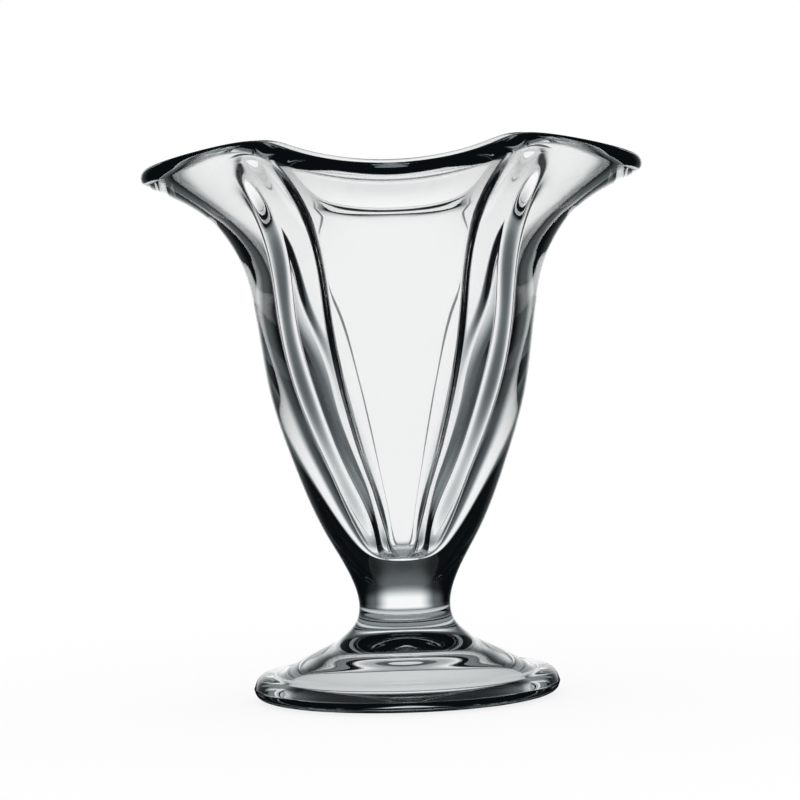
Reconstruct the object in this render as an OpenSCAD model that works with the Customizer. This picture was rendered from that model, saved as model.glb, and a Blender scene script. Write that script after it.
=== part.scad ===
// Pressed-glass parfait glass: a round foot, a short waisted stem and a tulip bowl.
// The bowl opens into lobes at the mouth, and between the lobes a broad rib runs down inside it.
// The origin is the centre of the ring that the foot rests on. A lobe faces the front, -Y.

/* [Foot] */
// Largest radius of the foot
foot_r = 37.9; // [34:0.1:42]
// Height of the foot's widest point
foot_edge_h = 3; // [2.2:0.1:3.8]
// Thickness of the foot at its rounded edge
foot_edge_t = 5.8; // [4.6:0.1:7]
// Height of the foot, up to the stem
foot_h = 15.4; // [14:0.1:18]
// Outer radius of the flat ring that the foot rests on
rest_r = 32.2; // [30:0.1:33.6]
// Width of the flat ring that the foot rests on
rest_w = 1.8; // [1:0.1:3]
// Depth of the hollow under the foot, at its centre
hollow_h = 13.4; // [8:0.1:13.6]

/* [Stem] */
// Radius of the stem where it meets the foot
stem_foot_r = 15.4; // [14:0.1:17]
// Radius of the waist, the stem's narrowest point
waist_r = 11.4; // [10:0.1:12.4]
// Radius of the stem where it meets the bowl
stem_bowl_r = 12.7; // [12.5:0.1:14]
// Height of the stem, from the foot to the bowl
stem_h = 13.6; // [10:0.1:20]

/* [Bowl] */
// Number of lobes, with a rib between each pair
lobe_count = 4; // [3:1:6]
// Outer radius of the bowl at its belly
belly_r = 34.6; // [31:0.1:38]
// Height of the belly above the stem
belly_h = 67; // [55:0.5:80]
// Thickness of the wall at the belly
wall_t = 4.4; // [3.4:0.1:5.6]
// Thickness of the glass under the floor of the cavity
floor_t = 8.4; // [5:0.1:10]
// Radius of the floor of the cavity
floor_r = 4.6; // [4:0.1:6]

/* [Mouth] */
// Radius of the mouth at the end of a lobe, to the middle of its rounded rim
lobe_r = 59.2; // [54:0.1:64]
// Height of the rim's middle above the belly, at the end of a lobe
lobe_h = 34.1; // [31:0.1:38]
// Steepness of the lip at the end of a lobe, in degrees
lobe_rise = 20; // [10:1:35]
// Radius of the mouth at a rib, to the middle of its rounded rim
rib_r = 46.3; // [42:0.1:49]
// Height of the rim's middle above the belly, at a rib
rib_h = 40.1; // [38:0.1:45]
// Steepness of the lip at a rib, in degrees
rib_rise = 56; // [45:1:70]
// Radius of the rounded rim
rim_r = 2.5; // [2:0.1:2.8]

/* [Ribs] */
// How far a rib stands out from the inside of the wall, at the belly
rib_t = 3.6; // [1.5:0.1:4.2]
// Width of the crest of a rib, at the belly
rib_crest_w = 9; // [5:0.1:11]
// Width of the slope on each side of a rib, at the belly
rib_slope_w = 4.2; // [3:0.1:5.5]

/* [Hidden] */
glass = [0.80, 0.90, 0.90, 0.55];

// Heights of the joints between the pieces, of the belly and of the cavity's floor
bowl_z = foot_h + stem_h;
belly_z = bowl_z + belly_h;
floor_z = bowl_z + floor_t;
// How far the floor's edge lies above its middle
floor_dish = 0.9;

// Top of the foot, from its edge in to the stem: shares of the way out from the stem's radius,
// and of the way up from the edge
foot_top_shares = [[0.93, 0], [0.78, 0.1], [0.6, 0.22], [0.42, 0.46], [0.19, 0.72]];
// Hollow under the foot: shares of the resting ring's inner radius and of the hollow's depth
hollow_shares = [[0, 1], [0.06, 0.995], [0.24, 0.925], [0.54, 0.69], [0.84, 0.28], [1, 0]];
// Underside of the foot's edge: shares of the way out from the ring and of the edge's height
edge_shares = [[0, 0], [0.55, 0.12], [0.88, 0.46], [1, 1]];
// Stem below its waist, as shares of the flare from waist_r to stem_foot_r and of the stem's height
stem_shares = [[0.125, 0.3], [0, 0.65]];
// Outside of the cup: shares of the way from the stem's radius to the belly's, and of its height
cup_shares = [[0.29, 0.18], [0.61, 0.43], [0.86, 0.7]];
// Inside of the cup at a lobe and at a rib: shares of the way from the floor's radius to the belly's,
// and of its height
lobe_cavity_shares = [[0.14, 0.08], [0.405, 0.34], [0.8, 0.7]];
rib_cavity_shares = [[0.07, 0.08], [0.33, 0.34], [0.74, 0.7]];
// Floor of the cavity: shares of its radius and of its dish
floor_shares = [[0.6, 0.1], [0.3, 0]];
// Flare from the belly to the rim, outside and inside, at a lobe and at a rib:
// shares of the way out and of the way up
lobe_outer_shares = [[0.12, 0.38], [0.38, 0.71]];
rib_outer_shares = [[0.07, 0.33], [0.4, 0.7]];
lobe_inner_shares = [[0.13, 0.37], [0.46, 0.71]];
rib_inner_shares = [[0.12, 0.38], [0.46, 0.72]];
// At the cavity's floor: its radius at a rib as a share of floor_r, and a rib's width as a share
// of its width at the belly
rib_floor_share = 0.9;
rib_floor_width_share = 0.2;
// How flat each lobe is round its middle; 1 is evenly rounded
lobe_flatness = 1.5;

// Points between two knots of a profile, on the foot, on the bowl and round the rim
foot_steps = 8;
bowl_steps = 3;
rim_steps = 6;
// Points round the mouth for each lobe, and how much closer together they are at a rib
lobe_steps = 22;
rib_crowding_share = 0.5;
$fn = 160;

// Cubic spline through knots: bends() gives its second derivative at each knot, from the
// usual forward and backward passes, and the ends are left straight
function chord(p, i) = norm(p[i + 1] - p[i]);
function turn(p, i) = 6 * ((p[i + 1] - p[i]) / chord(p, i) - (p[i] - p[i - 1]) / chord(p, i - 1));
function forward(p, done = [[0, [0, 0]]]) =
    let (
        i = len(done),
        pivot = 2 * (chord(p, i - 1) + chord(p, i)) - chord(p, i - 1) * done[i - 1][0],
        next = [chord(p, i) / pivot, (turn(p, i) - chord(p, i - 1) * done[i - 1][1]) / pivot],
        more = concat(done, [next])
    )
    i == len(p) - 2 ? more : forward(p, more);
function backward(passed, i, after) =
    i == 0 ? concat([[0, 0]], after) :
    backward(passed, i - 1, concat([passed[i][1] - passed[i][0] * after[0]], after));
function bends(p) = backward(forward(p), len(p) - 2, [[0, 0]]);
function between(p, bend, i, u) =
    let (v = 1 - u)
    v * p[i] + u * p[i + 1]
    + ((pow(v, 3) - v) * bend[i] + (pow(u, 3) - u) * bend[i + 1]) * pow(chord(p, i), 2) / 6;
// Points of the spline from one knot to another
function spline(p, first, last, steps) =
    let (bend = bends(p))
    concat(
        [for (i = [first:last - 1]) for (j = [0:steps - 1]) between(p, bend, i, j / steps)],
        [p[last]]
    );

// Points at shares of the way from one corner to the opposite one
function shared(from, to, shares) =
    [for (s = shares) [from[0] + s[0] * (to[0] - from[0]), from[1] + s[1] * (to[1] - from[1])]];

// Middle of the rounded rim at a lobe and at a rib, and the two ends of its half turn
lobe_rim = [lobe_r, belly_z + lobe_h];
rib_rim = [rib_r, belly_z + rib_h];
function rim_out(middle, rise) = middle + rim_r * [sin(rise), -cos(rise)];
function rim_in(middle, rise) = middle - rim_r * [sin(rise), -cos(rise)];
function rim_turn(middle, rise) =
    [for (j = [1:rim_steps - 1])
        let (a = rise - 90 + 180 * j / rim_steps)
        middle + rim_r * [cos(a), sin(a)]];

// Outside of the whole glass from the foot's edge to the rim
foot_knots = concat(
    [[foot_r, foot_edge_h]],
    shared([stem_foot_r, foot_edge_h + foot_edge_t / 2], [foot_r, foot_h], foot_top_shares)
);
stem_knots = concat(
    [[stem_foot_r, foot_h]],
    shared([waist_r, foot_h], [stem_foot_r, bowl_z], stem_shares)
);
function outer_knots(belly, middle, rise, flare_shares) =
    let (end = rim_out(middle, rise))
    concat(
        foot_knots,
        stem_knots,
        [[stem_bowl_r, bowl_z]],
        shared([stem_bowl_r, bowl_z], [belly, belly_z], cup_shares),
        [[belly, belly_z]],
        shared([belly, belly_z], end, flare_shares),
        [end]
    );
lobe_outer = outer_knots(belly_r, lobe_rim, lobe_rise, lobe_outer_shares);
rib_outer = outer_knots(belly_r, rib_rim, rib_rise, rib_outer_shares);
stem_first = len(foot_knots);
bowl_first = stem_first + len(stem_knots);

// Inside of the bowl from the rim down to the middle of the floor
function reversed(p) = [for (i = [len(p) - 1:-1:0]) p[i]];
function head(p) = [for (i = [0:len(p) - 2]) p[i]];
function inner_knots(belly, floor_edge, cavity_shares, middle, rise, flare_shares) =
    let (end = rim_in(middle, rise))
    concat(
        [end],
        reversed(shared([belly, belly_z], end, flare_shares)),
        [[belly, belly_z]],
        reversed(shared([floor_edge, floor_z + floor_dish], [belly, belly_z], cavity_shares)),
        [[floor_edge, floor_z + floor_dish]],
        shared([0, floor_z], [floor_edge, floor_z + floor_dish], floor_shares),
        [[0, floor_z]]
    );
inner_belly = belly_r - wall_t;
lobe_inner = inner_knots(
    inner_belly, floor_r, lobe_cavity_shares, lobe_rim, lobe_rise, lobe_inner_shares
);
rib_inner = inner_knots(
    inner_belly - rib_t, rib_floor_share * floor_r, rib_cavity_shares, rib_rim, rib_rise, rib_inner_shares
);

// Angles from the middle of a lobe, closer together at the ribs, and the lobe's place round the glass
pitch = 360 / lobe_count;
angles = [for (k = [0:lobe_count - 1]) for (j = [0:lobe_steps - 1])
    let (u = j / lobe_steps)
    pitch * (k + u + rib_crowding_share * sin(360 * u) / 360)];
front = -90;

// The outside and the rim rise evenly from lobe to rib, and each lobe is flat round its middle.
// The inside has a flat-topped rib that narrows towards the floor and widens into the mouth's flare.
function even_share(a) = (1 - cos(lobe_count * a)) / 2;
function flat_share(a) = pow(even_share(a), lobe_flatness);
function eased(t) =
    let (u = max(0, min(1, t)))
    pow(u, 3) * (u * (6 * u - 15) + 10);
function rib_angle(a) = abs(a % pitch - pitch / 2);
function narrow_share(a, radius) =
    let (width = rib_floor_width_share + (1 - rib_floor_width_share) * radius / inner_belly)
    1 - eased((radius * rib_angle(a) * PI / 180 / width - rib_crest_w / 2) / rib_slope_w);
function mixed(at_lobe, at_rib, out_share, up_share, a) =
    let (
        radius = at_lobe[0] + out_share * (at_rib[0] - at_lobe[0]),
        z = at_lobe[1] + up_share * (at_rib[1] - at_lobe[1])
    )
    [radius * cos(front + a), radius * sin(front + a), z];
function outer_row(i, lobe_line, rib_line) =
    [for (a = angles) mixed(lobe_line[i], rib_line[i], flat_share(a), even_share(a), a)];
flare_count = bowl_steps * (len(lobe_inner_shares) + 1);
function inner_row(i, lobe_line, rib_line) =
    [for (a = angles)
        let (
            narrowing = eased(i / flare_count),
            widening = 1 - narrowing,
            ribbed = narrowing * narrow_share(a, lobe_line[i][0])
        )
        mixed(
            lobe_line[i], rib_line[i],
            widening * flat_share(a) + ribbed, widening * even_share(a) + ribbed, a
        )];

module bowl() {
    last = len(lobe_outer) - 1;
    lobe_out = concat(
        spline(lobe_outer, bowl_first, last, bowl_steps),
        rim_turn(lobe_rim, lobe_rise)
    );
    rib_out = concat(
        spline(rib_outer, bowl_first, last, bowl_steps),
        rim_turn(rib_rim, rib_rise)
    );
    lobe_in = spline(lobe_inner, 0, len(lobe_inner) - 1, bowl_steps);
    rib_in = spline(rib_inner, 0, len(rib_inner) - 1, bowl_steps);
    outer_count = len(lobe_out);
    inner_count = len(lobe_in) - 1;
    rows = concat(
        [for (i = [0:outer_count - 1]) outer_row(i, lobe_out, rib_out)],
        [for (i = [0:inner_count - 1]) inner_row(i, lobe_in, rib_in)]
    );
    n = len(angles);
    row_count = len(rows);
    base_centre = n * row_count;
    floor_centre = base_centre + 1;
    points = concat(
        [for (row = rows) for (p = row) p],
        [[0, 0, bowl_z], [0, 0, floor_z]]
    );
    sides = [for (i = [0:row_count - 2]) for (j = [0:n - 1])
        let (
            a = i * n + j,
            b = i * n + (j + 1) % n
        )
        each [[a, a + n, b], [b, a + n, b + n]]];
    base = [for (j = [0:n - 1]) [base_centre, j, (j + 1) % n]];
    first_in = (row_count - 1) * n;
    floor_faces = [for (j = [0:n - 1]) [floor_centre, first_in + (j + 1) % n, first_in + j]];
    color(glass)
        polyhedron(points = points, faces = concat(sides, base, floor_faces));
}

module stem() {
    color(glass)
        rotate_extrude()
            polygon(concat(
                [[0, foot_h]],
                spline(lobe_outer, stem_first, bowl_first, foot_steps),
                [[0, bowl_z]]
            ));
}

module foot() {
    rest_inner_r = rest_r - rest_w;
    hollow = shared([0, 0], [rest_inner_r, hollow_h], hollow_shares);
    edge = shared([rest_r, 0], [foot_r, foot_edge_h], edge_shares);
    color(glass)
        rotate_extrude()
            polygon(concat(
                spline(hollow, 0, len(hollow) - 1, foot_steps),
                head(spline(edge, 0, len(edge) - 1, foot_steps)),
                spline(lobe_outer, 0, stem_first, foot_steps),
                [[0, foot_h]]
            ));
}

bowl();
stem();
foot();
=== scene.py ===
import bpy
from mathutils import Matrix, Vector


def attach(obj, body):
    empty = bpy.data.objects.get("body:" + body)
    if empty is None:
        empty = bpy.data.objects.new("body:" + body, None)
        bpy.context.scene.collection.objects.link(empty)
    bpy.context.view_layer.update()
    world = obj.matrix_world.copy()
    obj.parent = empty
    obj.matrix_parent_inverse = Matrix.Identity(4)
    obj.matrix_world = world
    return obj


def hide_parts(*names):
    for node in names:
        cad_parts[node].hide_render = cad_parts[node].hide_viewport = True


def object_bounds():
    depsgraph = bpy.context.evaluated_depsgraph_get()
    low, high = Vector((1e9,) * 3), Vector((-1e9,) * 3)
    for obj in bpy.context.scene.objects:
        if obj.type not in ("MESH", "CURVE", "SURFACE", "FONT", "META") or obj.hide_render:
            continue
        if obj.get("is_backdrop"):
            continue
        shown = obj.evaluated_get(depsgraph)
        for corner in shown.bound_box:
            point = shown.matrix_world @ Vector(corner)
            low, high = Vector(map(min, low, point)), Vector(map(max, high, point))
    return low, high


bl_info = {
    "name": "Parfait glass",
    "version": (1, 0, 0),
    "blender": (4, 5, 0),
    "location": "3D View > Sidebar > Parfait Glass",
    "description": "Builds a pressed parfait glass with a lobed mouth, and the studio that it stands in",
    "category": "Add Mesh",
}

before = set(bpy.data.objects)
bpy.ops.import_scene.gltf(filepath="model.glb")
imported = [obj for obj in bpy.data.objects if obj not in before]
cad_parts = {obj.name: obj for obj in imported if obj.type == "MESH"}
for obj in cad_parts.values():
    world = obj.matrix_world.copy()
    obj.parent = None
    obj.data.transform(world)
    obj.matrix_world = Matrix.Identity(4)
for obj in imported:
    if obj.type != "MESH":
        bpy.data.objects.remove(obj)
cad_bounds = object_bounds()

import math

import bpy
import numpy as np
from bpy.props import FloatProperty, FloatVectorProperty, IntProperty, PointerProperty
from mathutils import Quaternion, Vector

# How far a side of the glass may lie from the CAD model's, in metres
BOX_TOLERANCE = 0.001
PANEL_CATEGORY = "Parfait Glass"

# Outlines of the glass as shares of the way out and of the way up between the named sizes
FOOT_TOP_SHARES = ((0.93, 0), (0.78, 0.1), (0.6, 0.22), (0.42, 0.46), (0.19, 0.72))
HOLLOW_SHARES = ((0, 1), (0.06, 0.995), (0.24, 0.925), (0.54, 0.69), (0.84, 0.28), (1, 0))
EDGE_SHARES = ((0, 0), (0.55, 0.12), (0.88, 0.46), (1, 1))
STEM_SHARES = ((0.125, 0.3), (0, 0.65))
CUP_SHARES = ((0.29, 0.18), (0.61, 0.43), (0.86, 0.7))
LOBE_CAVITY_SHARES = ((0.14, 0.08), (0.405, 0.34), (0.8, 0.7))
RIB_CAVITY_SHARES = ((0.07, 0.08), (0.33, 0.34), (0.74, 0.7))
FLOOR_SHARES = ((0.6, 0.1), (0.3, 0))
LOBE_OUTER_SHARES = ((0.12, 0.38), (0.38, 0.71))
RIB_OUTER_SHARES = ((0.07, 0.33), (0.4, 0.7))
LOBE_INNER_SHARES = ((0.13, 0.37), (0.46, 0.71))
RIB_INNER_SHARES = ((0.12, 0.38), (0.46, 0.72))
# At the cavity's floor: its radius at a rib as a share of its radius at a lobe, and a rib's width
# as a share of its width at the belly
RIB_FLOOR_SHARE = 0.9
RIB_FLOOR_WIDTH_SHARE = 0.2
# How flat a lobe is round its middle: 1 is evenly rounded
LOBE_FLATNESS = 1.5

# Rows of the mesh between two knots of an outline, and points round the glass
EDGE_ROWS = 8
OUTER_ROWS = 12
RIM_ROWS = 16
INNER_ROWS = 16
POINTS_ROUND = 432

# Waves in the fire-polished surface: how many to a metre, and how far they are drawn out along each axis
WAVES_PER_METRE = 55
WAVE_STRETCH = (1, 1, 0.35)

# Part of the floor's brightness that the studio's light gives it, and so what its shadow takes away
FLOOR_MATT = 0.2
# Gap between the glass and the floor, in metres
FLOOR_GAP = 0.0002
# Height in the glass from which the floor's distance is turned into an angle, in metres
GLASS_MIDDLE = 0.08

# Camera: width of the sensor in millimetres, and the nearest point that it sees in metres
SENSOR_WIDTH = 36
NEAREST_POINT = 0.01


class FootSizes(bpy.types.PropertyGroup):
    """Sizes of the round foot."""

    radius: FloatProperty(
        name="Foot radius",
        description="Largest radius of the foot",
        default=0.0379,
        unit="LENGTH",
    )
    edge_height: FloatProperty(
        name="Edge height",
        description="Height of the foot's widest point",
        default=0.003,
        unit="LENGTH",
    )
    edge_thickness: FloatProperty(
        name="Edge thickness",
        description="Thickness of the foot at its rounded edge",
        default=0.0058,
        unit="LENGTH",
    )
    height: FloatProperty(
        name="Foot height",
        description="Height of the foot, up to the stem",
        default=0.0154,
        unit="LENGTH",
    )
    rest_radius: FloatProperty(
        name="Resting ring radius",
        description="Outer radius of the flat ring that the foot rests on",
        default=0.0322,
        unit="LENGTH",
    )
    rest_width: FloatProperty(
        name="Resting ring width",
        description="Width of the flat ring that the foot rests on",
        default=0.0018,
        unit="LENGTH",
    )
    hollow_height: FloatProperty(
        name="Hollow depth",
        description="Depth of the hollow under the foot, at its centre",
        default=0.0134,
        unit="LENGTH",
    )


class StemSizes(bpy.types.PropertyGroup):
    """Sizes of the waisted stem."""

    foot_radius: FloatProperty(
        name="Radius at the foot",
        description="Radius of the stem where it meets the foot",
        default=0.0154,
        unit="LENGTH",
    )
    waist_radius: FloatProperty(
        name="Waist radius",
        description="Radius of the stem's narrowest point",
        default=0.0114,
        unit="LENGTH",
    )
    bowl_radius: FloatProperty(
        name="Radius at the bowl",
        description="Radius of the stem where it meets the bowl",
        default=0.0127,
        unit="LENGTH",
    )
    height: FloatProperty(
        name="Stem height",
        description="Height of the stem, from the foot to the bowl",
        default=0.0136,
        unit="LENGTH",
    )


class BowlSizes(bpy.types.PropertyGroup):
    """Sizes of the bowl, its mouth and the ribs inside it."""

    lobes: IntProperty(
        name="Lobes",
        description="Number of lobes, with a rib between each pair",
        default=4,
        min=3,
        max=6,
    )
    belly_radius: FloatProperty(
        name="Belly radius",
        description="Outer radius of the bowl at its belly",
        default=0.0346,
        unit="LENGTH",
    )
    belly_height: FloatProperty(
        name="Belly height",
        description="Height of the belly above the stem",
        default=0.067,
        unit="LENGTH",
    )
    wall: FloatProperty(
        name="Wall",
        description="Thickness of the wall at the belly",
        default=0.0044,
        unit="LENGTH",
    )
    floor_thickness: FloatProperty(
        name="Floor thickness",
        description="Thickness of the glass under the floor of the cavity",
        default=0.0084,
        unit="LENGTH",
    )
    floor_radius: FloatProperty(
        name="Floor radius",
        description="Radius of the floor of the cavity",
        default=0.0046,
        unit="LENGTH",
    )
    floor_dish: FloatProperty(
        name="Floor dish",
        description="How far the floor's edge lies above its middle",
        default=0.0009,
        unit="LENGTH",
    )
    lobe_radius: FloatProperty(
        name="Lobe radius",
        description="Radius of the mouth at the end of a lobe, to the middle of its rim",
        default=0.0592,
        unit="LENGTH",
    )
    lobe_height: FloatProperty(
        name="Lobe height",
        description="Height of the rim's middle above the belly, at the end of a lobe",
        default=0.0341,
        unit="LENGTH",
    )
    lobe_rise: FloatProperty(
        name="Lobe rise",
        description="Steepness of the lip at the end of a lobe",
        default=math.radians(20),
        unit="ROTATION",
    )
    rib_radius: FloatProperty(
        name="Mouth radius at a rib",
        description="Radius of the mouth at a rib, to the middle of its rim",
        default=0.0463,
        unit="LENGTH",
    )
    rib_height: FloatProperty(
        name="Rim height at a rib",
        description="Height of the rim's middle above the belly, at a rib",
        default=0.0401,
        unit="LENGTH",
    )
    rib_rise: FloatProperty(
        name="Rise at a rib",
        description="Steepness of the lip at a rib",
        default=math.radians(56),
        unit="ROTATION",
    )
    rim_radius: FloatProperty(
        name="Rim radius",
        description="Radius of the rounded rim",
        default=0.0025,
        unit="LENGTH",
    )
    rib_depth: FloatProperty(
        name="Rib depth",
        description="How far a rib stands out from the inside of the wall, at the belly",
        default=0.0036,
        unit="LENGTH",
    )
    rib_crest: FloatProperty(
        name="Rib crest",
        description="Width of the crest of a rib, at the belly",
        default=0.009,
        unit="LENGTH",
    )
    rib_slope: FloatProperty(
        name="Rib slope",
        description="Width of the slope on each side of a rib, at the belly",
        default=0.0042,
        unit="LENGTH",
    )


class GlassFinishAndGlow(bpy.types.PropertyGroup):
    """Finish of the clear pressed glass, and the faint glow painted into it."""

    ior: FloatProperty(
        name="Refraction",
        description="Index of refraction of the soda-lime glass",
        default=1.52,
        min=1.3,
        max=1.8,
    )
    tint: FloatVectorProperty(
        name="Tint",
        description="Colour that the light takes on inside the glass",
        subtype="COLOR",
        default=(0.72, 0.88, 0.90),
        min=0,
        max=1,
    )
    tint_density: FloatProperty(
        name="Tint density",
        description="How strongly the glass tints the light, per metre",
        default=4,
        min=0,
    )
    # Stray light is a glow painted into the glass, which gives it off like a lamp
    stray_light: FloatProperty(
        name="Stray light",
        description="Brightness of the faint light in the glass where its reflections don't end",
        default=0.0007,
        min=0,
        max=1,
    )
    stray_colour: FloatVectorProperty(
        name="Stray light's colour",
        description="Colour of that faint light",
        subtype="COLOR",
        default=(0.62, 0.85, 1),
        min=0,
        max=1,
    )
    waviness: FloatProperty(
        name="Waviness",
        description="Height of the slow waves that fire polishing leaves in the surface",
        default=0.00004,
        unit="LENGTH",
    )


class StudioSettings(bpy.types.PropertyGroup):
    """Camera, light and floor of the studio."""

    distance: FloatProperty(
        name="Camera distance",
        description="How far in front of the glass the camera stands",
        default=1.13,
        unit="LENGTH",
    )
    height: FloatProperty(
        name="Camera height",
        description="Height of the camera above the floor",
        default=0.14,
        unit="LENGTH",
    )
    aim: FloatVectorProperty(
        name="Aim",
        description="Point that the camera looks at",
        subtype="XYZ",
        default=(0.0004, 0, 0.0735),
    )
    tilt: FloatProperty(
        name="Camera tilt",
        description="How far the camera is turned about its line of sight",
        default=math.radians(1.8),
        unit="ROTATION",
    )
    frame_width: FloatProperty(
        name="Frame width",
        description="Width that the picture takes in at the glass",
        default=0.19753,
        unit="LENGTH",
    )
    panel_brightness: FloatProperty(
        name="Panel brightness",
        description="Brightness of the middle of the lit panel behind the glass",
        default=1.04,
        min=0,
    )
    panel_width: FloatVectorProperty(
        name="Panel width",
        description="Half widths of the lit panel behind the glass, where it starts to fade and ends",
        subtype="EULER",
        size=2,
        default=(math.radians(12), math.radians(30)),
    )
    panel_top: FloatVectorProperty(
        name="Panel top",
        description="Elevations at which the lit panel starts to fade and ends",
        subtype="EULER",
        size=2,
        default=(math.radians(6), math.radians(24)),
    )
    panel_bottom: FloatVectorProperty(
        name="Panel bottom",
        description="Elevations below the horizon at which the lit panel starts to fade and ends",
        subtype="EULER",
        size=2,
        default=(math.radians(18), math.radians(44)),
    )
    spill: FloatProperty(
        name="Spill",
        description="Brightness of the faint light beyond the panel's edges",
        default=0.13,
        min=0,
        max=1,
    )
    spill_width: FloatProperty(
        name="Spill width",
        description="How far the faint light reaches beyond the panel's edges",
        default=math.radians(22),
        unit="ROTATION",
    )
    room_brightness: FloatProperty(
        name="Room brightness",
        description="Brightness of the room in front of the glass, as seen through the glass",
        default=0.85,
        min=0,
        max=1,
    )
    room_start: FloatVectorProperty(
        name="Room start",
        description="Bearings from the panel at which the room starts to brighten and is fully bright",
        subtype="EULER",
        size=2,
        default=(math.radians(72), math.radians(92)),
    )
    room_top: FloatVectorProperty(
        name="Room top",
        description="Elevations at which the room's light starts to fade and ends",
        subtype="EULER",
        size=2,
        default=(math.radians(35), math.radians(75)),
    )
    floor_glow: FloatProperty(
        name="Floor under the glass",
        description="Brightness of the floor round the glass, as the glass shows it",
        default=0.72,
        min=0,
        max=1,
    )
    floor_glow_reach: FloatVectorProperty(
        name="Reach of the lit floor",
        description="Distances from the glass's axis at which the lit floor starts to fade and ends",
        subtype="XYZ_LENGTH",
        unit="LENGTH",
        size=2,
        default=(0.05, 0.14),
    )
    floor_glow_left: FloatProperty(
        name="Floor after a reflection",
        description="Share of the floor's brightness that is left after a reflection in the glass",
        default=0.4,
        min=0,
        max=1,
    )
    shade_brightness: FloatProperty(
        name="Shade brightness",
        description="Brightness that the glass shows even where no light faces it",
        default=0.003,
        min=0,
    )
    cool_shade: FloatVectorProperty(
        name="Shade",
        description="Colour of the dim light beside the panel",
        subtype="COLOR",
        default=(0.86, 0.97, 1),
        min=0,
        max=1,
    )
    floor_size: FloatProperty(
        name="Floor size",
        description="Length of each side of the floor",
        default=8,
        unit="LENGTH",
    )


class ParfaitGlassSettings(bpy.types.PropertyGroup):
    """Everything that the glass and its studio are built from."""

    foot: PointerProperty(type=FootSizes)
    stem: PointerProperty(type=StemSizes)
    bowl: PointerProperty(type=BowlSizes)
    finish_and_glow: PointerProperty(type=GlassFinishAndGlow)
    studio: PointerProperty(type=StudioSettings)


def spline_bends(knots):
    """Second derivative of the natural cubic spline at each of its knots."""
    gaps = np.linalg.norm(np.diff(knots, axis=0), axis=1)
    passed = [(0.0, np.zeros(2))]
    for i in range(1, len(knots) - 1):
        pivot = 2 * (gaps[i - 1] + gaps[i]) - gaps[i - 1] * passed[-1][0]
        leaving = (knots[i + 1] - knots[i]) / gaps[i]
        arriving = (knots[i] - knots[i - 1]) / gaps[i - 1]
        turn = 6 * (leaving - arriving) - gaps[i - 1] * passed[-1][1]
        passed.append((gaps[i] / pivot, turn / pivot))
    bends = np.zeros((len(knots), 2))
    for i in range(len(knots) - 2, 0, -1):
        bends[i] = passed[i][1] - passed[i][0] * bends[i + 1]
    return bends


def spline(knots, rows):
    """Points of a smooth line through the knots, with that many rows from each knot to the next."""
    knots = np.array(knots, float)
    bends = spline_bends(knots)
    points = []
    for i in range(len(knots) - 1):
        gap = np.linalg.norm(knots[i + 1] - knots[i])
        for row in range(rows):
            u = row / rows
            v = 1 - u
            bend = (v**3 - v) * bends[i] + (u**3 - u) * bends[i + 1]
            points.append(v * knots[i] + u * knots[i + 1] + bend * gap * gap / 6)
    points.append(knots[-1])
    return np.array(points)


def shared(start, end, shares):
    """Points at shares of the way out and of the way up from start to end."""
    return [(start[0] + a * (end[0] - start[0]), start[1] + b * (end[1] - start[1])) for a, b in shares]


def eased(t):
    """A smooth step from 0 to 1."""
    t = np.clip(t, 0, 1)
    return t**3 * (t * (6 * t - 15) + 10)


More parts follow.
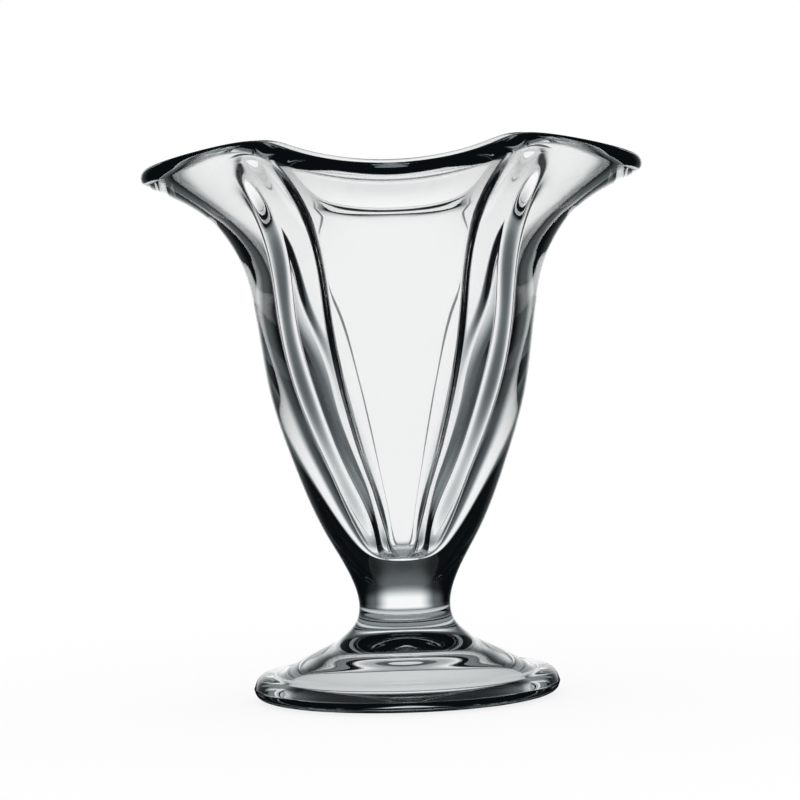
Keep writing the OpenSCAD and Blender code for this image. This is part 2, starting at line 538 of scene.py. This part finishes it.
class GlassOutline:
    """The outlines of the glass at the middle of a lobe and at a rib."""

    def __init__(self, settings):
        self.foot = settings.foot
        self.stem = settings.stem
        self.bowl = settings.bowl
        self.bowl_z = self.foot.height + self.stem.height
        self.belly_z = self.bowl_z + self.bowl.belly_height
        self.floor_z = self.bowl_z + self.bowl.floor_thickness
        self.lobe_rim = np.array((self.bowl.lobe_radius, self.belly_z + self.bowl.lobe_height))
        self.rib_rim = np.array((self.bowl.rib_radius, self.belly_z + self.bowl.rib_height))

    def underside(self):
        """The hollow from its middle to the resting ring, and the lower half of the foot's edge."""
        foot = self.foot
        inner = foot.rest_radius - foot.rest_width
        hollow = spline(shared((0, 0), (inner, foot.hollow_height), HOLLOW_SHARES), EDGE_ROWS)
        edge = spline(
            shared((foot.rest_radius, 0), (foot.radius, foot.edge_height), EDGE_SHARES), EDGE_ROWS
        )
        return np.concatenate((hollow, edge[:-1]))

    def outside(self, rim, rise, flare_shares):
        """The outside from the foot's edge to the rim."""
        foot = self.foot
        stem = self.stem
        belly = self.bowl.belly_radius
        edge_top = (stem.foot_radius, foot.edge_height + foot.edge_thickness / 2)
        end = rim + self.bowl.rim_radius * np.array((math.sin(rise), -math.cos(rise)))
        round_knots = [(foot.radius, foot.edge_height)]
        round_knots += shared(edge_top, (foot.radius, foot.height), FOOT_TOP_SHARES)
        round_knots.append((stem.foot_radius, foot.height))
        round_knots += shared(
            (stem.waist_radius, foot.height), (stem.foot_radius, self.bowl_z), STEM_SHARES
        )
        base = (stem.bowl_radius, self.bowl_z)
        knots = round_knots + [base] + shared(base, (belly, self.belly_z), CUP_SHARES)
        knots.append((belly, self.belly_z))
        knots += shared((belly, self.belly_z), end, flare_shares)
        knots.append(tuple(end))
        return spline(knots, OUTER_ROWS)[:-1]

    def round_rim(self, rim, rise):
        """Half a turn round the rim, from the outside to the inside."""
        angles = rise - math.pi / 2 + math.pi * np.arange(RIM_ROWS) / RIM_ROWS
        return rim + self.bowl.rim_radius * np.stack((np.cos(angles), np.sin(angles)), 1)

    def inside(self, belly, floor_edge, rim, rise, flare_shares, cavity_shares):
        """The inside from the rim to the middle of the cavity's floor."""
        end = rim - self.bowl.rim_radius * np.array((math.sin(rise), -math.cos(rise)))
        edge = (floor_edge, self.floor_z + self.bowl.floor_dish)
        knots = [tuple(end)]
        knots += shared((belly, self.belly_z), end, flare_shares)[::-1]
        knots.append((belly, self.belly_z))
        knots += shared(edge, (belly, self.belly_z), cavity_shares)[::-1]
        knots.append(edge)
        knots += shared((0, self.floor_z), edge, FLOOR_SHARES)
        knots.append((0, self.floor_z))
        return spline(knots, INNER_ROWS)

    def rows(self, angles):
        """Radius and height of each row of the surface, at each angle from the middle of a lobe."""
        bowl = self.bowl
        even = (1 - np.cos(bowl.lobes * angles)) / 2
        flat = even**LOBE_FLATNESS
        radii = []
        heights = []

        def add(at_lobe, at_rib, out_share, up_share):
            """Add the row that changes from one point at a lobe to another at a rib."""
            radii.append(at_lobe[0] + out_share * (at_rib[0] - at_lobe[0]))
            heights.append(at_lobe[1] + up_share * (at_rib[1] - at_lobe[1]))

        for point in self.underside():
            add(point, point, even, even)
        for at_lobe, at_rib in zip(
            self.outside(self.lobe_rim, bowl.lobe_rise, LOBE_OUTER_SHARES),
            self.outside(self.rib_rim, bowl.rib_rise, RIB_OUTER_SHARES),
        ):
            add(at_lobe, at_rib, flat, even)
        for at_lobe, at_rib in zip(
            self.round_rim(self.lobe_rim, bowl.lobe_rise),
            self.round_rim(self.rib_rim, bowl.rib_rise),
        ):
            add(at_lobe, at_rib, flat, even)

        belly = bowl.belly_radius - bowl.wall
        lobe_in = self.inside(
            belly, bowl.floor_radius, self.lobe_rim, bowl.lobe_rise, LOBE_INNER_SHARES, LOBE_CAVITY_SHARES
        )
        rib_in = self.inside(
            belly - bowl.rib_depth,
            RIB_FLOOR_SHARE * bowl.floor_radius,
            self.rib_rim,
            bowl.rib_rise,
            RIB_INNER_SHARES,
            RIB_CAVITY_SHARES,
        )
        pitch = 2 * math.pi / bowl.lobes
        from_rib = np.abs(angles % pitch - pitch / 2)
        flare_rows = INNER_ROWS * (len(LOBE_INNER_SHARES) + 1)
        for i, (at_lobe, at_rib) in enumerate(zip(lobe_in, rib_in)):
            width = RIB_FLOOR_WIDTH_SHARE + (1 - RIB_FLOOR_WIDTH_SHARE) * at_lobe[0] / belly
            narrow = 1 - eased((at_lobe[0] * from_rib / width - bowl.rib_crest / 2) / bowl.rib_slope)
            narrowing = eased(i / flare_rows)
            ribbed = narrowing * narrow
            add(at_lobe, at_rib, (1 - narrowing) * flat + ribbed, (1 - narrowing) * even + ribbed)
        return np.array(radii), np.array(heights)


def closed_mesh(name, radii, heights, angles):
    """A closed mesh from rows that start and end on the axis. Angle 0 faces the front, -Y."""
    round_radii = radii[1:-1]
    round_heights = heights[1:-1]
    x = round_radii * np.sin(angles)
    y = -round_radii * np.cos(angles)
    points = np.stack((x, y, round_heights), 2).reshape(-1, 3)
    row_count, count = round_radii.shape
    corners = np.arange(row_count * count).reshape(row_count, count)
    after = np.roll(corners, -1, axis=1)
    quads = np.stack((corners[:-1], after[:-1], after[1:], corners[1:]), 2).reshape(-1, 4)
    under = len(points)
    over = under + 1
    faces = quads.tolist()
    faces += [(under, int(b), int(a)) for a, b in zip(corners[0], after[0])]
    faces += [(over, int(a), int(b)) for a, b in zip(corners[-1], after[-1])]
    ends = ((0, 0, heights[0][0]), (0, 0, heights[-1][0]))
    mesh = bpy.data.meshes.new(name)
    mesh.from_pydata(points.tolist() + list(ends), [], faces)
    mesh.shade_smooth()
    if mesh.validate():
        raise RuntimeError("The mesh of the glass has faults")
    return mesh


def clear_glass_material(finish_and_glow):
    """Clear, fire-polished pressed glass: a faint tint in its depth, slow waves in its surface, and a
    faint painted glow.
    """
    material = bpy.data.materials.new("clear_glass")
    material.use_nodes = True
    nodes = material.node_tree.nodes
    links = material.node_tree.links
    shader = nodes["Principled BSDF"]
    shader.inputs["Base Color"].default_value = (1, 1, 1, 1)
    shader.inputs["Roughness"].default_value = 0
    shader.inputs["IOR"].default_value = finish_and_glow.ior
    shader.inputs["Transmission Weight"].default_value = 1
    # Painted glow: a faint light that the glass gives off everywhere, in place of light that goes on
    # reflecting inside it
    shader.inputs["Emission Color"].default_value = (*finish_and_glow.stray_colour, 1)
    shader.inputs["Emission Strength"].default_value = finish_and_glow.stray_light

    place = nodes.new("ShaderNodeTexCoord")
    stretch = nodes.new("ShaderNodeMapping")
    stretch.inputs["Scale"].default_value = WAVE_STRETCH
    waves = nodes.new("ShaderNodeTexNoise")
    waves.inputs["Scale"].default_value = WAVES_PER_METRE
    waves.inputs["Detail"].default_value = 1
    bump = nodes.new("ShaderNodeBump")
    bump.inputs["Strength"].default_value = 1
    bump.inputs["Distance"].default_value = finish_and_glow.waviness
    links.new(place.outputs["Object"], stretch.inputs["Vector"])
    links.new(stretch.outputs["Vector"], waves.inputs["Vector"])
    links.new(waves.outputs["Fac"], bump.inputs["Height"])
    links.new(bump.outputs["Normal"], shader.inputs["Normal"])

    depth = nodes.new("ShaderNodeVolumeAbsorption")
    depth.inputs["Color"].default_value = (*finish_and_glow.tint, 1)
    depth.inputs["Density"].default_value = finish_and_glow.tint_density
    links.new(depth.outputs["Volume"], nodes["Material Output"].inputs["Volume"])
    return material


class PARFAIT_OT_glass(bpy.types.Operator):
    """Build the bowl, the stem and the foot as the one pressing that they are."""

    bl_idname = "parfait.glass"
    bl_label = "Glass"

    def execute(self, context):
        settings = context.scene.parfait_glass
        angles = 2 * math.pi * np.arange(POINTS_ROUND) / POINTS_ROUND
        radii, heights = GlassOutline(settings).rows(angles)
        mesh = closed_mesh("glass_body", radii, heights, angles)
        mesh.materials.append(clear_glass_material(settings.finish_and_glow))
        glass = bpy.data.objects.new("glass_body", mesh)
        context.collection.objects.link(glass)
        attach(glass, "root")
        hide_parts("bowl", "stem", "foot")
        return {"FINISHED"}


class StudioLight:
    """Nodes for the light that the glass shows from a direction: a lit panel behind it, dark round it."""

    def __init__(self, tree, studio):
        self.tree = tree
        self.studio = studio
        self.path = tree.nodes.new("ShaderNodeLightPath")

    def in_glass(self):
        """1 for light that reaches the camera by way of the glass, and 0 for the rest."""
        rays = self.path.outputs
        return self.calculate("MAXIMUM", rays["Is Glossy Ray"], rays["Is Transmission Ray"])

    def shown(self, x, y, elevation):
        """What the glass shows towards a direction: the panel, and the room if nothing reflects it."""
        room = self.calculate("MULTIPLY", self.from_room(x, y, elevation), self.straight())
        lit = self.calculate("MAXIMUM", self.from_panel(x, y, elevation), room)
        return self.calculate("ADD", lit, self.studio.shade_brightness)

    def straight(self, left=0):
        """1 for light that comes straight through the glass, and what is left of it after a reflection."""
        reflected = self.calculate("MINIMUM", self.path.outputs["Glossy Depth"], 1)
        lost = self.calculate("MULTIPLY", reflected, 1 - left)
        return self.calculate("SUBTRACT", self.path.outputs["Is Transmission Ray"], lost)

    def colour(self, strength):
        """White where the light is bright, and cooler where it is dim."""
        mix = self.tree.nodes.new("ShaderNodeMix")
        mix.data_type = "RGBA"
        self.tree.links.new(strength, mix.inputs["Factor"])
        mix.inputs["A"].default_value = (*self.studio.cool_shade, 1)
        mix.inputs["B"].default_value = (1, 1, 1, 1)
        return mix.outputs["Result"]

    def calculate(self, operation, first, second=None):
        """The result of one calculation with numbers or sockets."""
        node = self.tree.nodes.new("ShaderNodeMath")
        node.operation = operation
        for socket, value in zip(node.inputs, (first, second)):
            if isinstance(value, bpy.types.NodeSocket):
                self.tree.links.new(value, socket)
            elif value is not None:
                socket.default_value = value
        return node.outputs[0]

    def fade(self, value, start, end, low=0, high=1):
        """A smooth change from low to high while the value goes from start to end."""
        node = self.tree.nodes.new("ShaderNodeMapRange")
        node.interpolation_type = "SMOOTHSTEP"
        self.tree.links.new(value, node.inputs["Value"])
        node.inputs["From Min"].default_value = start
        node.inputs["From Max"].default_value = end
        node.inputs["To Min"].default_value = low
        node.inputs["To Max"].default_value = high
        return node.outputs["Result"]

    def bearing(self, x, y):
        """Angle round the glass between the middle of the panel and a direction."""
        return self.calculate("ABSOLUTE", self.calculate("ARCTAN2", x, y))

    def from_panel(self, x, y, elevation):
        """Brightness of the panel and of its spill towards a direction."""
        across = self.soft_edge(self.bearing(x, y), *self.studio.panel_width)
        above = self.soft_edge(elevation, *self.studio.panel_top)
        below = self.soft_edge(self.calculate("MULTIPLY", elevation, -1), *self.studio.panel_bottom)
        faded = self.calculate("MULTIPLY", across, self.calculate("MULTIPLY", above, below))
        return self.calculate("MULTIPLY", faded, self.studio.panel_brightness)

    def soft_edge(self, angle, start, end):
        """The panel's fade from start to end, and the faint spill of light beyond it."""
        spill = self.studio.spill
        panel = self.fade(angle, start, end, 1, spill)
        outer_end = end + self.studio.spill_width
        return self.calculate("MULTIPLY", panel, self.fade(angle, end, outer_end, 1, 0))

    def from_room(self, x, y, elevation):
        """Brightness of the room in front of the glass, which the glass shows from the sides and back."""
        studio = self.studio
        across = self.fade(self.bearing(x, y), *studio.room_start, 0, studio.room_brightness)
        height = self.calculate("ABSOLUTE", elevation)
        return self.calculate("MULTIPLY", across, self.fade(height, *studio.room_top, 1, 0))


def studio_world(studio):
    """White to the camera, a plain even light on the floor, and the lit panel in the glass."""
    world = bpy.data.worlds.new("studio")
    world.use_nodes = True
    tree = world.node_tree
    background = tree.nodes["Background"]
    light = StudioLight(tree, studio)
    place = tree.nodes.new("ShaderNodeTexCoord")
    axes = tree.nodes.new("ShaderNodeSeparateXYZ")
    tree.links.new(place.outputs["Generated"], axes.inputs["Vector"])
    x, y, z = axes.outputs
    elevation = light.calculate("ARCSINE", z)
    shown = light.shown(x, y, elevation)
    in_glass = light.in_glass()
    plain = light.calculate("SUBTRACT", 1, in_glass)
    strength = light.calculate("ADD", light.calculate("MULTIPLY", in_glass, shown), plain)
    tree.links.new(light.colour(strength), background.inputs["Color"])
    tree.links.new(strength, background.inputs["Strength"])
    return world


def floor_material(studio):
    """A pale floor that the glass shows lit behind and beneath it, and dark to its sides."""
    material = bpy.data.materials.new("pale_floor")
    material.use_nodes = True
    tree = material.node_tree
    tree.nodes.clear()
    light = StudioLight(tree, studio)
    place = tree.nodes.new("ShaderNodeNewGeometry")
    axes = tree.nodes.new("ShaderNodeSeparateXYZ")
    tree.links.new(place.outputs["Position"], axes.inputs["Vector"])
    x, y, z = axes.outputs
    x_squared = light.calculate("MULTIPLY", x, x)
    y_squared = light.calculate("MULTIPLY", y, y)
    reach = light.calculate("SQRT", light.calculate("ADD", x_squared, y_squared))
    slope = light.calculate("DIVIDE", -GLASS_MIDDLE, reach)
    elevation = light.calculate("ARCTAN2", slope, 1)
    near = light.fade(reach, *studio.floor_glow_reach, studio.floor_glow, 0)
    near = light.calculate("MULTIPLY", near, light.straight(studio.floor_glow_left))
    strength = light.calculate("MAXIMUM", light.shown(x, y, elevation), near)
    shown = tree.nodes.new("ShaderNodeEmission")
    tree.links.new(light.colour(strength), shown.inputs["Color"])
    tree.links.new(strength, shown.inputs["Strength"])
    glow = tree.nodes.new("ShaderNodeEmission")
    glow.inputs["Strength"].default_value = 1 - FLOOR_MATT
    matt = tree.nodes.new("ShaderNodeBsdfDiffuse")
    matt.inputs["Color"].default_value = (FLOOR_MATT, FLOOR_MATT, FLOOR_MATT, 1)
    pale = tree.nodes.new("ShaderNodeAddShader")
    either = tree.nodes.new("ShaderNodeMixShader")
    output = tree.nodes.new("ShaderNodeOutputMaterial")
    tree.links.new(glow.outputs["Emission"], pale.inputs[0])
    tree.links.new(matt.outputs["BSDF"], pale.inputs[1])
    tree.links.new(light.in_glass(), either.inputs["Fac"])
    tree.links.new(pale.outputs["Shader"], either.inputs[1])
    tree.links.new(shown.outputs["Emission"], either.inputs[2])
    tree.links.new(either.outputs["Shader"], output.inputs["Surface"])
    return material


class PARFAIT_OT_stage(bpy.types.Operator):
    """Set up the studio: floor, light and camera."""

    bl_idname = "parfait.stage"
    bl_label = "Stage"

    def execute(self, context):
        scene = context.scene
        studio = scene.parfait_glass.studio
        half = studio.floor_size / 2
        mesh = bpy.data.meshes.new("studio_floor")
        mesh.from_pydata(
            [(-half, -half, 0), (half, -half, 0), (half, half, 0), (-half, half, 0)], [], [(0, 1, 2, 3)]
        )
        mesh.materials.append(floor_material(studio))
        floor = bpy.data.objects.new("studio_floor", mesh)
        floor.location.z = -FLOOR_GAP
        context.collection.objects.link(floor)
        floor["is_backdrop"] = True
        scene.world = studio_world(studio)

        aim = Vector(studio.aim)
        stand = Vector((aim.x, -studio.distance, studio.height))
        sight = aim - stand
        camera_data = bpy.data.cameras.new("camera")
        camera_data.sensor_width = SENSOR_WIDTH
        camera_data.lens = SENSOR_WIDTH * sight.length / studio.frame_width
        camera_data.clip_start = NEAREST_POINT
        camera = bpy.data.objects.new("camera", camera_data)
        camera.location = stand
        camera.rotation_mode = "QUATERNION"
        turn = Quaternion((0, 0, 1), -studio.tilt)
        camera.rotation_quaternion = sight.to_track_quat("-Z", "Y") @ turn
        context.collection.objects.link(camera)
        scene.camera = camera
        scene.view_settings.view_transform = "Standard"
        return {"FINISHED"}


class PARFAIT_PT_panel(bpy.types.Panel):
    """Lists the pieces of the glass and its stage."""

    bl_idname = "PARFAIT_PT_panel"
    bl_label = "Parfait glass"
    bl_space_type = "VIEW_3D"
    bl_region_type = "UI"
    bl_category = PANEL_CATEGORY

    def draw(self, context):
        settings = context.scene.parfait_glass
        layout = self.layout
        for group in (settings.foot, settings.stem, settings.bowl, settings.finish_and_glow, settings.studio):
            box = layout.box()
            for name in group.bl_rna.properties.keys():
                if name not in ("rna_type", "name"):
                    box.prop(group, name)
        for operator in PIECE_OPERATORS:
            layout.operator(operator.bl_idname)


PIECE_OPERATORS = (PARFAIT_OT_glass, PARFAIT_OT_stage)
PROPERTY_GROUPS = (FootSizes, StemSizes, BowlSizes, GlassFinishAndGlow, StudioSettings, ParfaitGlassSettings)
CLASSES = (*PROPERTY_GROUPS, *PIECE_OPERATORS, PARFAIT_PT_panel)


def register():
    for cls in CLASSES:
        bpy.utils.register_class(cls)
    bpy.types.Scene.parfait_glass = PointerProperty(type=ParfaitGlassSettings)


def unregister():
    del bpy.types.Scene.parfait_glass
    for cls in reversed(CLASSES):
        bpy.utils.unregister_class(cls)


def plain_box(bounds):
    """The two corners of a box as plain numbers."""
    return [[float(value) for value in corner] for corner in bounds]


def main():
    register()
    bpy.ops.parfait.glass()
    bpy.ops.parfait.stage()
    sizes = {"cad": plain_box(cad_bounds), "visual": plain_box(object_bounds())}
    if np.abs(np.subtract(sizes["visual"], sizes["cad"])).max() > BOX_TOLERANCE:
        raise RuntimeError("The glass and the CAD model differ in size")


if __name__ == "__main__":
    main()
